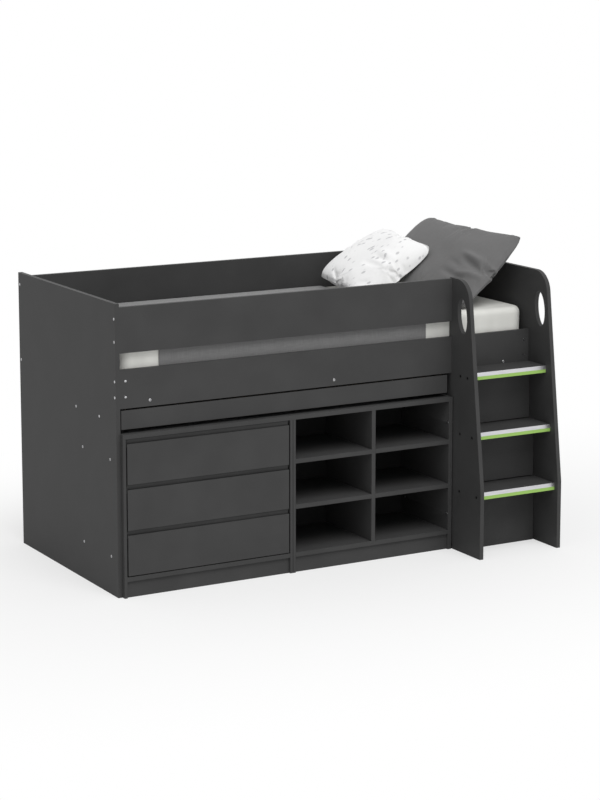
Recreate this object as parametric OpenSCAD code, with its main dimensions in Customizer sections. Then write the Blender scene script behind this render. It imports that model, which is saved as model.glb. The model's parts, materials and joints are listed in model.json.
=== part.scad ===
// Mid sleeper bed: a raised bed frame with a ladder, over a chest of drawers, an open
// bookcase and a pull-out desk.
// The modules work in bench places: X from the left end panel's outer face, Y from the
// bed's front edge towards the back, Z from the floor. place() moves them so that the
// origin is the middle of the footprint, on the floor.

/* [Bed frame] */
// Clear length between the two end panels
inner_l = 1910; // [1860:10:2060]
// Thickness of the boards
board_t = 18; // [16:1:20]
// Depth of an end panel, front edge to back edge
end_d = 953; // [900:1:1053]
// Height of the end panels
end_h = 1165; // [1160:1:1250]
// Height of the upper edges of the guard rail and the back panel
guard_top = 1150; // [1120:1:1158]
// Height of the guard rail board
guard_h = 180; // [150:1:200]
// Height of the slot between the guard rail and the side rail
slot_h = 65; // [50:1:75]
// Height of the side rail board
rail_h = 153; // [130:1:165]
// Distance of the back panel in front of the end panels' back edges
back_inset = 7; // [0:1:20]

/* [Ladder] */
// Clear width between the ladder side panel and the right end panel
ladder_w = 371; // [330:1:420]
// Distance that the ladder stands out in front of the bed
ladder_reach = 230; // [210:1:260]
// Height at which the ladder's front edge starts to lean back
knee_z = 288; // [200:1:340]
// Lean of the ladder's front edge from upright, in degrees
ladder_lean = 7.3; // [5:0.1:9]
// Height of the ladder side panel
ladder_top = 1153; // [1151:1:1200]
// Radius of the panels' upper front corners
corner_r = 90; // [40:1:110]
// Depth to which the ladder side panel runs back under the bed
ladder_foot_d = 450; // [446:1:600]
// Width of a hand hole
hole_w = 68; // [50:1:80]
// Height of a hand hole
hole_h = 148; // [110:1:170]
// Height of a hand hole's middle
hole_z = 1003; // [990:1:1030]
// Distance of a hand hole's middle behind the leaning edge
hole_inset = 60; // [50:1:70]

/* [Treads] */
// Height of the lowest tread's upper face
tread_z = 278; // [250:1:300]
// Rise from one tread to the next
tread_rise = 245; // [220:1:250]
// Thickness of a tread
tread_t = 30; // [26:1:34]
// Distance of the lowest tread's front behind the ladder's foot
tread_set = 23; // [15:1:35]
// Distance that each tread stands further back than the one below
tread_back = 38.5; // [30:0.5:42]
// Height of the metal strip on a tread's front
grip_h = 16; // [12:1:20]
// Thickness of the strips on a tread's front
strip_t = 4; // [3:0.5:6]
// Distance that the metal strip's face leans back at its top
grip_slant = 2; // [0:0.5:2.5]
// Gap at each end of a kick board
kick_gap = 4; // [0.5:0.5:6]
// Gap under the upper and the middle kick board
kick_lift = 5; // [0.5:0.5:8]
// Distance of the middle kick board's back in front of the side rail
middle_kick_y = 37; // [30:1:50]
// Distance of the lower kick board's back in front of the side rail
lower_kick_y = 44; // [40:1:60]

/* [Mattress base] */
// Width and height of a slat batten
batten_s = 30; // [24:1:36]
// Height of a batten's underside above the side rail's lower edge
batten_rise = 9; // [0:1:20]
// Number of slats
slat_count = 12; // [10:1:16]
// Width of a slat
slat_w = 70; // [50:1:90]
// Gap at each end of a slat or batten
slat_gap = 2; // [1:0.5:5]

/* [Storage] */
// Distance that the storage stands out in front of the bed
storage_reach = 21; // [5:1:40]
// Depth of the storage
storage_d = 385; // [375:1:440]
// Gap between the storage and the desk over it
storage_clear = 16.5; // [10:0.5:40]
// Width of the chest of drawers
chest_w = 751.5; // [700:0.5:800]
// Gap between the chest and the bookcase
unit_gap = 1.5; // [0.5:0.5:4]
// Gap between the bookcase and the ladder side panel
storage_gap = 5; // [2:0.5:10]
// Thickness of the three thin upright sides
side_t = 12; // [12:1:16]
// Height of the plinths
plinth_h = 66; // [50:1:80]
// Distance of the plinths behind the storage's front
plinth_set = 10; // [2:1:40]
// Thickness of the storage's back sheets
sheet_t = 4; // [3:0.5:6]
// Distance of the back sheets in front of the storage's back edge
sheet_inset = 6; // [4:1:20]
// Depth of the grooves that hold the thin sheets
groove_d = 5; // [3:0.5:6]
// Clearance on each face of a thin sheet in its groove
groove_play = 0.2; // [0.1:0.1:0.5]
// Gap at each end of a board that is let in between two others
joint_play = 0.2; // [0.1:0.1:0.5]
// Height of the upper shelves' upper face
upper_shelf_z = 472; // [440:1:500]
// Height of the lower shelves' upper face
lower_shelf_z = 284; // [250:1:320]

/* [Drawers] */
// Number of drawers
drawer_count = 3; // [3:1:3]
// Gap between the base board and the lowest drawer front
front_foot_gap = 4; // [2:0.5:8]
// Gap above a drawer front
front_gap = 2; // [1.5:0.5:4]
// Gap at each side of a drawer front
front_side_gap = 5.5; // [2:0.5:8]
// Height of the finger pull band over a front's lip
pull_h = 18; // [14:1:26]
// Thickness of a front's lip
lip_t = 4.5; // [3.5:0.5:6]
// Width of the finger pull behind the lip
pull_w = 9.5; // [8:0.5:10]
// Depth of the finger pull below the lip
pull_d = 14; // [10:0.5:20]
// Depth of the pull's back wall at its top, behind the front face
pull_top_set = 6; // [4:0.5:10]
// Length of a drawer's sides
drawer_l = 350; // [300:5:350]
// Height of a drawer's front left over its sides
drawer_headroom = 28.3; // [18:0.1:50]
// Thickness of a drawer's sides and back
drawer_t = 12; // [10:0.5:15]
// Height of a drawer's underside above its front's lower edge
drawer_rise = 12; // [6:1:20]
// Height of a drawer's bottom sheet above the underside of its sides
drawer_floor = 10; // [6:1:16]

/* [Drawer runners] */
// Space between a drawer's side and the chest's side
runner_space = 13; // [12.5:0.5:16]
// Thickness of the runners' metal
runner_t = 1.2; // [1:0.1:1.6]
// Height of the moving bar of a drawer runner
runner_h = 34.2; // [28:0.1:38]
// Gap between a moving bar and its channel
runner_play = 0.4; // [0.3:0.1:0.6]
// Gap between a moving bar and the channel's web, and between the flanges and the drawer
runner_side_play = 1; // [0.5:0.1:1.5]

/* [Desk] */
// Gap between the side rail and the desk
desk_gap = 7.5; // [4:0.5:12]
// Height of the desk's fascia, with the top's edge behind it
fascia_h = 75; // [72:1:78]
// Gap between the fascia and the left end panel
fascia_gap_left = 4; // [2:0.5:8]
// Gap between the fascia and the ladder side panel
fascia_gap_right = 20; // [18:0.5:30]
// Depth of the desk's top behind the fascia
desk_d = 450; // [420:5:520]
// Length of the desk's runners
desk_runner_l = 400; // [350:5:400]
// Distance of the desk's runners behind the bed's front edge
desk_runner_y = 40; // [30:1:46]
// Height of the moving bar of a desk runner
desk_runner_h = 27.2; // [22:0.1:32]

/* [Fasteners] */
// Radius of a bolt's shank
bolt_r = 3; // [2.5:0.5:4]
// Radius of a bolt's head
bolt_head_r = 5.5; // [5:0.5:8]
// Height of a bolt's head
bolt_head_h = 1.2; // [0.8:0.1:1.4]
// Clearance round a bolt's shank
bolt_play = 0.3; // [0.1:0.1:0.5]
// Distance of the bolts from a rail's upper and lower edges
bolt_inset = 45; // [30:1:50]
// Distance of the back panel's upper bolts from its upper edge
back_bolt_inset = 34; // [30:1:60]
// Radius of a barrel nut
nut_r = 5; // [4.5:0.5:6]
// Length of a barrel nut
nut_l = 14; // [12.5:0.5:15]
// Distance of a barrel nut from the end of its board
nut_set = 24; // [18:1:34]
// Clearance round a barrel nut
nut_play = 0.1; // [0.1:0.1:0.3]
// Distance of the outer batten screws from the end panels
screw_inset = 128; // [80:1:200]
// Wood left over the tip of a bolt or screw
tip_cover = 3; // [2:0.5:5]
// Depth of the ladder's bolts in a tread
tread_bolt_depth = 30; // [20:1:40]
// Distance of the ladder's front bolts behind a tread's front
tread_bolt_set = 8; // [7:1:16]
// Distance of the ladder's rear bolts in front of the side rail
tread_bolt_rear = 70; // [50:1:80]
// Distance of the ladder's bolts below a tread's upper face
tread_bolt_drop = 19; // [10:1:20]
// Distance of the storage's upper bolts below its top
storage_bolt_drop = 109; // [90:1:150]
// Height of the storage's lower bolts
storage_bolt_low = 155; // [120:1:200]
// Distance of the chest's front bolts behind the bed's front edge
chest_bolt_front = 60; // [40:1:90]
// Distance of the storage's rear bolts behind the bed's front edge
storage_bolt_rear = 319; // [280:1:330]
// Distance of the desk runners' front bolts behind the bed's front edge
desk_bolt_front = 156; // [110:1:200]
// Distance of the desk runners' rear bolts behind the bed's front edge
desk_bolt_rear = 378; // [330:1:380]

/* [Bedding] */
// Thickness of the mattress
mattress_t = 195; // [150:1:195]
// Gap between the mattress and the frame
mattress_gap = 5; // [4:0.5:10]
// Radius of the mattress's upright corners
mattress_r = 58; // [40:1:80]
// Radius of the mattress's upper and lower edges
mattress_edge_r = 26; // [10:1:40]
// Rise of the mattress's flat middle over its edge
mattress_crown = 4; // [0:0.5:8]
// Thickness of the blanket
blanket_t = 3; // [2:0.5:3.5]
// Distance of the blanket's left edge from the left end panel
blanket_left = 177; // [60:1:400]
// Distance of the blanket's right edge from the right end panel
blanket_right = 504; // [460:1:800]
// Height of the blanket's drop at the mattress's sides
blanket_drop = 126; // [80:1:150]
// Height of the folds in the laid blanket
blanket_fold = 2.5; // [0:0.5:5]
// Clearance between soft pieces
soft_gap = 0.3; // [0.3:0.1:1]
// Length of the grey pillow
grey_l = 700; // [600:5:740]
// Width of the grey pillow
grey_w = 420; // [380:5:450]
// Distance of the grey pillow's lower edge from the right end panel
grey_foot = 328; // [315:1:345]
// Height of the grey pillow's lower edge over the mattress
grey_lift = 11.5; // [5:0.5:20]
// Distance of the grey pillow's middle behind the bed's front edge
grey_y = 383; // [370:1:500]
// Height of the grey pillow's upper side over its seam
grey_over = 45; // [35:1:60]
// Depth of the grey pillow under its seam where it leans on the end panel
grey_lean = 113; // [100:1:120]
// Width and length of the white pillow
white_s = 400; // [360:5:440]
// Distance of the white pillow's middle up the grey one's slope from its lower edge
white_up = 50; // [30:1:70]
// Height of the white pillow's middle over the grey one's seam
white_rise = 118; // [110:1:125]
// Distance of the white pillow's middle behind the bed's front edge
white_y = 653; // [500:1:670]
// Angle by which the white pillow lies flatter than the grey one
white_flatter = 12.8; // [10:0.1:16]
// Height of the white pillow's upper side over its seam
white_over = 50; // [35:1:60]
// Depth of the white pillow's lower side under its seam
white_under = 95; // [90:1:110]
// Share of its size by which a pillow's sides draw in
pillow_pinch = 0.06; // [0:0.01:0.1]

/* [Hidden] */

// Colours of the finishes
board_colour = [0.27, 0.27, 0.27];
metal_colour = [0.78, 0.78, 0.79];
dark_metal_colour = [0.12, 0.12, 0.12];
green_colour = [0.61, 0.77, 0.37];
wood_colour = [0.80, 0.68, 0.50];
sheet_colour = [0.20, 0.20, 0.20];

// How far a cut runs past the face that it leaves
past = 1;
// Steps in a bore, a panel's round corner, a hand hole and a finger pull's round bottom
bore_fn = 32;
arc_steps = 10;
oval_steps = 48;
scoop_steps = 8;

// The bed frame's lengths and heights
overall_l = inner_l + 2 * board_t;
right_x = board_t + inner_l;
ladder_x = right_x - ladder_w - board_t;
guard_z = guard_top - guard_h;
rail_z = guard_z - slot_h - rail_h;
back_y = end_d - back_inset - board_t;
inner_d = back_y - board_t;
batten_z = rail_z + batten_rise;
slat_z = batten_z + batten_s;
mattress_z = slat_z + board_t;
desk_z = rail_z - desk_gap;
storage_h = desk_z - fascia_h - storage_clear;

// The storage's places
storage_y = -storage_reach;
storage_right = ladder_x - storage_gap;
chest_right = board_t + chest_w;
book_x = chest_right + unit_gap;
shelf_z0 = plinth_h + board_t;
top_z = storage_h - board_t;
sheet_y = storage_y + storage_d - sheet_inset - sheet_t;
book_inner_l = book_x + side_t;
book_inner_r = storage_right - board_t;
divider_x = (book_inner_l + book_inner_r - board_t) / 2;

// The drawers' places
front_z0 = shelf_z0 + front_foot_gap;
front_pitch = (top_z - front_z0) / drawer_count;
front_h = front_pitch - front_gap;
front_x = board_t + side_t + front_side_gap;
front_w = chest_w - 2 * side_t - 2 * front_side_gap;
drawer_h = front_h - drawer_rise - drawer_headroom;
box_x = board_t + side_t + runner_space;
box_w = chest_w - 2 * side_t - 2 * runner_space;
box_y = storage_y + board_t;
box_back = box_y + drawer_l;
runner_flange = runner_space - runner_side_play;
bar_t = runner_space - runner_t - runner_side_play;
floor_groove = sheet_t + 2 * groove_play;

// The desk's places
fascia_x = board_t + fascia_gap_left;
fascia_l = ladder_x - fascia_gap_right - fascia_x;
packer_t = fascia_gap_right - fascia_gap_left;
desk_left = board_t + runner_space;
desk_right = ladder_x - packer_t - runner_space;
desk_rail_h = fascia_h - board_t;
desk_runner_z = desk_z - board_t - desk_rail_h / 2;

// The bolts: each has the X of the face that its head lies on, the side it points to
// along X, and its Y and Z
board_mid = board_t / 2;
guard_bolt_z = [guard_z + bolt_inset, guard_top - bolt_inset];
rail_bolt_z = [rail_z + bolt_inset, rail_z + rail_h - bolt_inset];
back_bolt_z = [rail_z + bolt_inset, guard_top - back_bolt_inset];
guard_bolts = [for (z = guard_bolt_z, e = [[0, 1], [ladder_x + board_t, -1]])
    [e[0], e[1], board_mid, z]];
rail_bolts = [for (z = rail_bolt_z, e = [[0, 1], [overall_l, -1]])
    [e[0], e[1], board_mid, z]];
back_bolts = [for (z = back_bolt_z, e = [[0, 1], [overall_l, -1]])
    [e[0], e[1], back_y + board_mid, z]];
frame_bolt_l = board_t + nut_set + 2 * bolt_r;
tread_bolts = [for (n = [0, 1, 2], e = [[ladder_x, 1], [overall_l, -1]], rear = [false, true])
    [e[0], e[1], rear ? -tread_bolt_rear : tread_front(n) + tread_bolt_set,
    tread_top(n) - tread_bolt_drop]];
tread_bolt_l = board_t + tread_bolt_depth;
chest_bolts = [for (y = [chest_bolt_front, storage_bolt_rear],
    z = [storage_bolt_low, storage_h - storage_bolt_drop]) [0, 1, y, z]];
chest_bolt_l = board_t + side_t - tip_cover;
book_bolts = [for (y = [plinth_set + storage_y, storage_bolt_rear],
    z = [storage_bolt_low, storage_h - storage_bolt_drop]) [book_inner_r, 1, y, z]];
book_bolt_l = 2 * board_t + storage_gap - tip_cover;
desk_bolt_y = [desk_bolt_front, desk_bolt_rear];
desk_left_bolts = [for (y = desk_bolt_y) [0, 1, y, desk_runner_z]];
desk_right_bolts = [for (y = desk_bolt_y) [ladder_x + board_t, -1, y, desk_runner_z]];
desk_left_bolt_l = board_t + runner_t;
desk_right_bolt_l = board_t + packer_t + runner_t;
screw_x = [board_t + screw_inset, overall_l / 2, right_x - screw_inset];

// Bedding
mattress_l = inner_l - 2 * mattress_gap;
mattress_w = inner_d - 2 * mattress_gap;
mattress_x = overall_l / 2;
mattress_y = (board_t + back_y) / 2;
mattress_top = mattress_z + mattress_t;
blanket_z = mattress_top + soft_gap;
blanket_x = board_t + blanket_left;
blanket_l = inner_l - blanket_left - blanket_right;
edge_steps = 4;
corner_steps = 8;
grid = 16;
swell_power = 0.4;
fall_u = 0.7;
blanket_steps = 24;
fold_pitch = 327;
fold_swell = 973;
fold_slant = 0.32;
white_sway = 3;
white_swing = 7.4;
grey_swing = 1;

// The grey pillow's slope runs from its lower edge over the end panel's upper inner edge
grey_low_z = mattress_top + grey_lift;
edge_rise = end_h - grey_low_z;
grey_tilt = atan2(edge_rise, grey_foot) + asin(grey_lean / norm([grey_foot, edge_rise]));
grey_turn = [0, -grey_tilt, grey_swing];
white_turn = [white_sway, white_flatter - grey_tilt, -white_swing];

// A place over the grey pillow: a way up its slope from its lower edge, a place along the
// bed's width and a height over its seam
function over_slope(up, y, rise) = [
    right_x - grey_foot + up * cos(grey_tilt) - rise * sin(grey_tilt), y,
    grey_low_z + up * sin(grey_tilt) + rise * cos(grey_tilt)];
grey_at = over_slope(grey_w / 2, grey_y, 0);
white_at = over_slope(white_up, white_y, white_rise);

// Spaces under a pillow: the soft pieces' clearance, and what the flats of their faces take
bed_rest = soft_gap + 0.45;
pillow_rest = soft_gap + 1.1;

// Front plane and upper face of tread n, counted from the floor
function tread_front(n) = -ladder_reach + tread_set + n * tread_back;
function tread_top(n) = tread_z + n * tread_rise;

// Front edge of the ladder's panels at height z
function ladder_edge(z) = -ladder_reach + max(0, z - knee_z) * tan(ladder_lean);

// Lower edge of the front of drawer n, counted from the top
function front_z(n) = front_z0 + (drawer_count - n) * front_pitch;

module place() {
    translate([-overall_l / 2, -(end_d - ladder_reach) / 2, 0]) children();
}

// A board by its lowest corner and its size
module board(at, size) {
    translate(at) cube(size);
}

// A profile drawn in Y and Z, made solid from x over a length
module along_x(x, length) {
    translate([x, 0, 0]) rotate([90, 0, 90]) linear_extrude(length) children();
}

// Fasteners

module point_along_x(bolt) {
    translate([bolt[0], bolt[2], bolt[3]]) rotate([0, 90 * bolt[1], 0]) children();
}

module bolt(length) {
    translate([0, 0, -bolt_head_h]) cylinder(r = bolt_head_r, h = bolt_head_h, $fn = bore_fn);
    cylinder(r = bolt_r, h = length, $fn = bore_fn);
}

module bolts_at(bolts, length) {
    for (b = bolts) point_along_x(b) bolt(length);
}

module holes_at(bolts, length) {
    for (b = bolts) point_along_x(b)
        translate([0, 0, -past]) cylinder(r = bolt_r + bolt_play, h = length + 2 * past, $fn = bore_fn);
}

// A barrel nut's place across the end of a bolt's board: its face is flush with the
// board's face on the side given, and it points into the board
module at_nut(b, side) {
    translate([b[0] + b[1] * (board_t + nut_set), b[2] + side * board_mid, b[3]])
        rotate([90 * side, 0, 0]) children();
}

module nut_holes(bolts, side) {
    for (b = bolts) at_nut(b, side) translate([0, 0, -past])
        cylinder(r = nut_r + nut_play, h = nut_l + nut_play + past, $fn = bore_fn);
}

module nuts(bolts, side) {
    for (b = bolts) difference() {
        at_nut(b, side) cylinder(r = nut_r, h = nut_l, $fn = bore_fn);
        holes_at([b], frame_bolt_l);
    }
}

// A wood screw that points along Y, into the side given
module batten_screw(x, y, side, r, head_r, head_h) {
    translate([x, y, batten_z + batten_s / 2]) rotate([-90 * side, 0, 0]) {
        translate([0, 0, -head_h]) cylinder(r = head_r, h = head_h, $fn = bore_fn);
        cylinder(r = r, h = board_t + batten_s - tip_cover, $fn = bore_fn);
    }
}

module batten_screws() {
    for (x = screw_x) {
        batten_screw(x, 0, 1, bolt_r, bolt_head_r, bolt_head_h);
        batten_screw(x, back_y + board_t, -1, bolt_r, bolt_head_r, bolt_head_h);
    }
}

module batten_screw_holes() {
    for (x = screw_x) {
        batten_screw(x, 0, 1, bolt_r + bolt_play, bolt_r + bolt_play, past);
        batten_screw(x, back_y + board_t, -1, bolt_r + bolt_play, bolt_r + bolt_play, past);
    }
}

module frame_bolts() color(metal_colour) {
    bolts_at(guard_bolts, frame_bolt_l);
    bolts_at(rail_bolts, frame_bolt_l);
    bolts_at(back_bolts, frame_bolt_l);
    nuts(guard_bolts, 1);
    nuts(rail_bolts, -1);
    nuts(back_bolts, 1);
    batten_screws();
}

module ladder_bolts() color(dark_metal_colour) bolts_at(tread_bolts, tread_bolt_l);

module storage_bolts() color(metal_colour) {
    bolts_at(chest_bolts, chest_bolt_l);
    bolts_at(book_bolts, book_bolt_l);
    bolts_at(desk_left_bolts, desk_left_bolt_l);
    bolts_at(desk_right_bolts, desk_right_bolt_l);
}

// Bed frame

// The ladder's front outline in Y and Z: a foot, a leaning edge and a round upper corner
function ladder_front(top) = let (
    centre_z = top - corner_r,
    centre_y = ladder_edge(centre_z) + corner_r / cos(ladder_lean),
    turn = 90 - ladder_lean)
    concat([[-ladder_reach, 0], [-ladder_reach, knee_z]],
    [for (i = [0:arc_steps]) let (a = 180 - ladder_lean - turn * i / arc_steps)
        [centre_y + corner_r * cos(a), centre_z + corner_r * sin(a)]]);

// The hand hole, an upright oval that leans with the ladder's edge
module hand_hole() {
    translate([ladder_edge(hole_z) + hole_inset, hole_z]) rotate(-ladder_lean)
        polygon([for (i = [0:oval_steps - 1]) let (a = 360 * i / oval_steps)
            [hole_w / 2 * cos(a), hole_h / 2 * sin(a)]]);
}

module left_end_panel() color(board_colour) difference() {
    board([0, 0, 0], [board_t, end_d, end_h]);
    holes_at([for (b = concat(guard_bolts, rail_bolts, back_bolts)) if (b[0] == 0) b], board_t);
    holes_at(chest_bolts, board_t);
    holes_at(desk_left_bolts, board_t);
}

module right_end_panel() color(board_colour) difference() {
    along_x(right_x, board_t) difference() {
        polygon(concat(ladder_front(end_h), [[end_d, end_h], [end_d, 0]]));
        hand_hole();
    }
    holes_at([for (b = concat(rail_bolts, back_bolts)) if (b[0] == overall_l) b], board_t);
    holes_at([for (b = tread_bolts) if (b[0] == overall_l) b], board_t);
}

// The side panel is notched for the side rail and runs back under the bed
module ladder_side_panel() color(board_colour) difference() {
    rail_top = rail_z + rail_h;
    along_x(ladder_x, board_t) difference() {
        polygon(concat(ladder_front(ladder_top), [[board_t, ladder_top], [board_t, rail_top],
            [0, rail_top], [0, rail_z], [ladder_foot_d, rail_z], [ladder_foot_d, 0]]));
        hand_hole();
    }
    holes_at([for (b = guard_bolts) if (b[0] != 0) b], board_t);
    holes_at([for (b = tread_bolts) if (b[0] == ladder_x) b], board_t);
    holes_at(book_bolts, book_bolt_l);
    holes_at(desk_right_bolts, board_t);
}

module front_guard_rail() color(board_colour) difference() {
    board([board_t, 0, guard_z], [ladder_x - board_t, board_t, guard_h]);
    holes_at(guard_bolts, frame_bolt_l);
    nut_holes(guard_bolts, 1);
}

module front_side_rail() color(board_colour) difference() {
    board([board_t, 0, rail_z], [inner_l, board_t, rail_h]);
    holes_at(rail_bolts, frame_bolt_l);
    nut_holes(rail_bolts, -1);
    batten_screw_holes();
}

module back_panel() color(board_colour) difference() {
    board([board_t, back_y, rail_z], [inner_l, board_t, guard_top - rail_z]);
    holes_at(back_bolts, frame_bolt_l);
    nut_holes(back_bolts, 1);
    batten_screw_holes();
}

module slat_battens() color(wood_colour) difference() {
    for (y = [board_t, back_y - batten_s])
        board([board_t + slat_gap, y, batten_z], [inner_l - 2 * slat_gap, batten_s, batten_s]);
    batten_screw_holes();
}

module mattress_slats() color(wood_colour) {
    pitch = (inner_l - 2 * slat_gap - slat_w) / (slat_count - 1);
    for (i = [0:slat_count - 1])
        board([board_t + slat_gap + i * pitch, board_t + slat_gap, slat_z],
            [slat_w, inner_d - 2 * slat_gap, board_t]);
}

// Ladder

// Tread n reaches back to the side rail, or to the kick board over it
module tread(n) color(board_colour) difference() {
    back = n == 0 ? -middle_kick_y : 0;
    front = tread_front(n) + strip_t;
    board([ladder_x + board_t, front, tread_top(n) - tread_t], [ladder_w, back - front, tread_t]);
    holes_at([for (b = tread_bolts) if (b[3] == tread_top(n) - tread_bolt_drop) b], tread_bolt_l);
}

module tread_grip(n) color(metal_colour)
    along_x(ladder_x + board_t, ladder_w) translate([tread_front(n), tread_top(n) - grip_h])
        polygon([[0, 0], [strip_t, 0], [strip_t, grip_h], [grip_slant, grip_h]]);

module tread_edging(n) color(green_colour)
    board([ladder_x + board_t, tread_front(n), tread_top(n) - tread_t],
        [ladder_w, strip_t, tread_t - grip_h]);

module kick_board(back, low, high) color(board_colour)
    board([ladder_x + board_t + kick_gap, back - board_t, low],
        [ladder_w - 2 * kick_gap, board_t, high - low]);

module upper_kick_board() kick_board(0, tread_top(1) + kick_lift, tread_top(2) - tread_t);
module middle_kick_board()
    kick_board(-middle_kick_y, tread_top(0) + kick_lift, tread_top(1) - tread_t);
module lower_kick_board() kick_board(-lower_kick_y, 0, tread_top(0) - tread_t);

// Storage

// The groove that holds a back sheet, over the sheet's whole height
module back_groove(x) {
    board([x, sheet_y - groove_play, plinth_h - past],
        [groove_d, sheet_t + 2 * groove_play, top_z - plinth_h + 2 * past]);
}

module upright(x, thickness) {
    board([x, storage_y, 0], [thickness, storage_d, top_z]);
}

module base_board(x, length) {
    board([x, storage_y, plinth_h], [length, sheet_y - groove_play - storage_y, board_t]);
}

module plinth(x, length) {
    board([x, storage_y + plinth_set, 0], [length, board_t, plinth_h]);
}

module back_sheet(x, length) {
    reach = groove_d - groove_play;
    board([x - reach, sheet_y, plinth_h], [length + 2 * reach, sheet_t, top_z - plinth_h]);
}

module storage_top() color(board_colour)
    board([board_t, storage_y, top_z], [storage_right - board_t, storage_d, board_t]);

module chest_left_side() color(board_colour) difference() {
    upright(board_t, side_t);
    back_groove(board_t + side_t - groove_d);
    holes_at(chest_bolts, chest_bolt_l);
}

module chest_right_side() color(board_colour) difference() {
    upright(chest_right - side_t, side_t);
    back_groove(chest_right - side_t);
}

module chest_base() color(board_colour) base_board(board_t + side_t, chest_w - 2 * side_t);
module chest_plinth() color(board_colour) plinth(board_t + side_t, chest_w - 2 * side_t);
module chest_back() color(sheet_colour) back_sheet(board_t + side_t, chest_w - 2 * side_t);

// A channel along Y whose web lies at x and whose flanges point to the side given
module channel(x, side, y, z, bar_h, length) {
    inside = bar_h + 2 * runner_play;
    outside = inside + 2 * runner_t;
    translate([x, y, z - outside / 2]) mirror([side < 0 ? 1 : 0, 0, 0]) difference() {
        cube([runner_flange, length, outside]);
        translate([runner_t, -past, runner_t])
            cube([runner_flange, length + 2 * past, inside]);
    }
}

function drawer_runner_z(n) = front_z(n) + drawer_rise + drawer_h / 2;

module chest_runners_left() color(metal_colour)
    for (n = [1:drawer_count])
        channel(board_t + side_t, 1, box_y, drawer_runner_z(n), runner_h, drawer_l);

module chest_runners_right() color(metal_colour)
    for (n = [1:drawer_count])
        channel(chest_right - side_t, -1, box_y, drawer_runner_z(n), runner_h, drawer_l);

// Drawers

// A front's outline in depth and height, with the finger pull behind its lip
function front_outline() = let (
    lip_h = front_h - pull_h,
    scoop_r = pull_w / 2,
    scoop_z = lip_h - pull_d + scoop_r)
    concat([[0, 0], [board_t, 0], [board_t, front_h], [pull_top_set, front_h]],
    [for (i = [0:scoop_steps]) let (a = 180 * i / scoop_steps)
        [lip_t + scoop_r + scoop_r * cos(a), scoop_z - scoop_r * sin(a)]],
    [[lip_t, lip_h], [0, lip_h]]);

module drawer_floor_groove(n) {
    board([box_x + drawer_t - groove_d, box_y - groove_d,
        front_z(n) + drawer_rise + drawer_floor - groove_play],
        [box_w - 2 * (drawer_t - groove_d), drawer_l + groove_d + past, floor_groove]);
}

module drawer_front(n) color(board_colour) difference() {
    along_x(front_x, front_w) translate([storage_y, front_z(n)]) polygon(front_outline());
    drawer_floor_groove(n);
}

module drawer_box(n) color(board_colour) {
    low = front_z(n) + drawer_rise;
    difference() {
        for (x = [box_x, box_x + box_w - drawer_t])
            board([x, box_y, low], [drawer_t, drawer_l, drawer_h]);
        drawer_floor_groove(n);
    }
    inset = drawer_t + joint_play;
    board([box_x + inset, box_back - drawer_t, low + drawer_floor + sheet_t],
        [box_w - 2 * inset, drawer_t, drawer_h - drawer_floor - sheet_t]);
}

module drawer_base(n) color(sheet_colour) {
    reach = groove_d - groove_play;
    board([box_x + drawer_t - reach, box_y - reach, front_z(n) + drawer_rise + drawer_floor],
        [box_w - 2 * drawer_t + 2 * reach, drawer_l + reach, sheet_t]);
}

module drawer_runners(n) color(metal_colour)
    for (x = [box_x - bar_t, box_x + box_w])
        board([x, box_y + past, drawer_runner_z(n) - runner_h / 2], [bar_t, drawer_l - past, runner_h]);

// Bookcase

module bookcase_left_side() color(board_colour) difference() {
    upright(book_x, side_t);
    back_groove(book_inner_l - groove_d);
}

module bookcase_right_side() color(board_colour) difference() {
    upright(book_inner_r, board_t);
    back_groove(book_inner_r);
    holes_at(book_bolts, book_bolt_l);
}

module bookcase_divider() color(board_colour)
    board([divider_x, storage_y, shelf_z0], [board_t, sheet_y - groove_play - storage_y, top_z - shelf_z0]);

module bookcase_base() color(board_colour) base_board(book_inner_l, book_inner_r - book_inner_l);
module bookcase_plinth() color(board_colour) plinth(book_inner_l, book_inner_r - book_inner_l);
module bookcase_back() color(sheet_colour) back_sheet(book_inner_l, book_inner_r - book_inner_l);

module bookcase_shelves() color(board_colour)
    for (x = [book_inner_l, divider_x + board_t], z = [lower_shelf_z, upper_shelf_z])
        board([x, storage_y, z - board_t],
            [divider_x - book_inner_l, sheet_y - groove_play - storage_y, board_t]);

// Desk

module desk_top() color(board_colour)
    board([desk_left, board_t, desk_z - board_t], [desk_right - desk_left, desk_d, board_t]);

module desk_fascia() color(board_colour)
    board([fascia_x, 0, desk_z - fascia_h], [fascia_l, board_t, fascia_h]);

// Two side rails and a rail between them at the back
module desk_underframe() color(board_colour) {
    low = desk_z - fascia_h;
    for (x = [desk_left, desk_right - board_t])
        board([x, board_t, low], [board_t, desk_d, desk_rail_h]);
    inset = board_t + joint_play;
    board([desk_left + inset, desk_d, low],
        [desk_right - desk_left - 2 * inset, board_t, desk_rail_h]);
}

// The strip that brings the right-hand runner out to the desk
module desk_runner_packer() color(board_colour) difference() {
    board([ladder_x - packer_t, desk_runner_y, desk_z - fascia_h], [packer_t, desk_runner_l, desk_rail_h]);
    holes_at(desk_right_bolts, board_t + packer_t);
}

module desk_fixed_runners() color(metal_colour) difference() {
    union() {
        channel(board_t, 1, desk_runner_y, desk_runner_z, desk_runner_h, desk_runner_l);
        channel(ladder_x - packer_t, -1, desk_runner_y, desk_runner_z, desk_runner_h, desk_runner_l);
    }
    holes_at(desk_left_bolts, desk_left_bolt_l);
    holes_at(desk_right_bolts, desk_right_bolt_l);
}

module desk_moving_runners() color(metal_colour)
    for (x = [desk_left - bar_t, desk_right])
        board([x, desk_runner_y + past, desk_runner_z - desk_runner_h / 2],
            [bar_t, desk_runner_l - past, desk_runner_h]);

// Bedding

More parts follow.
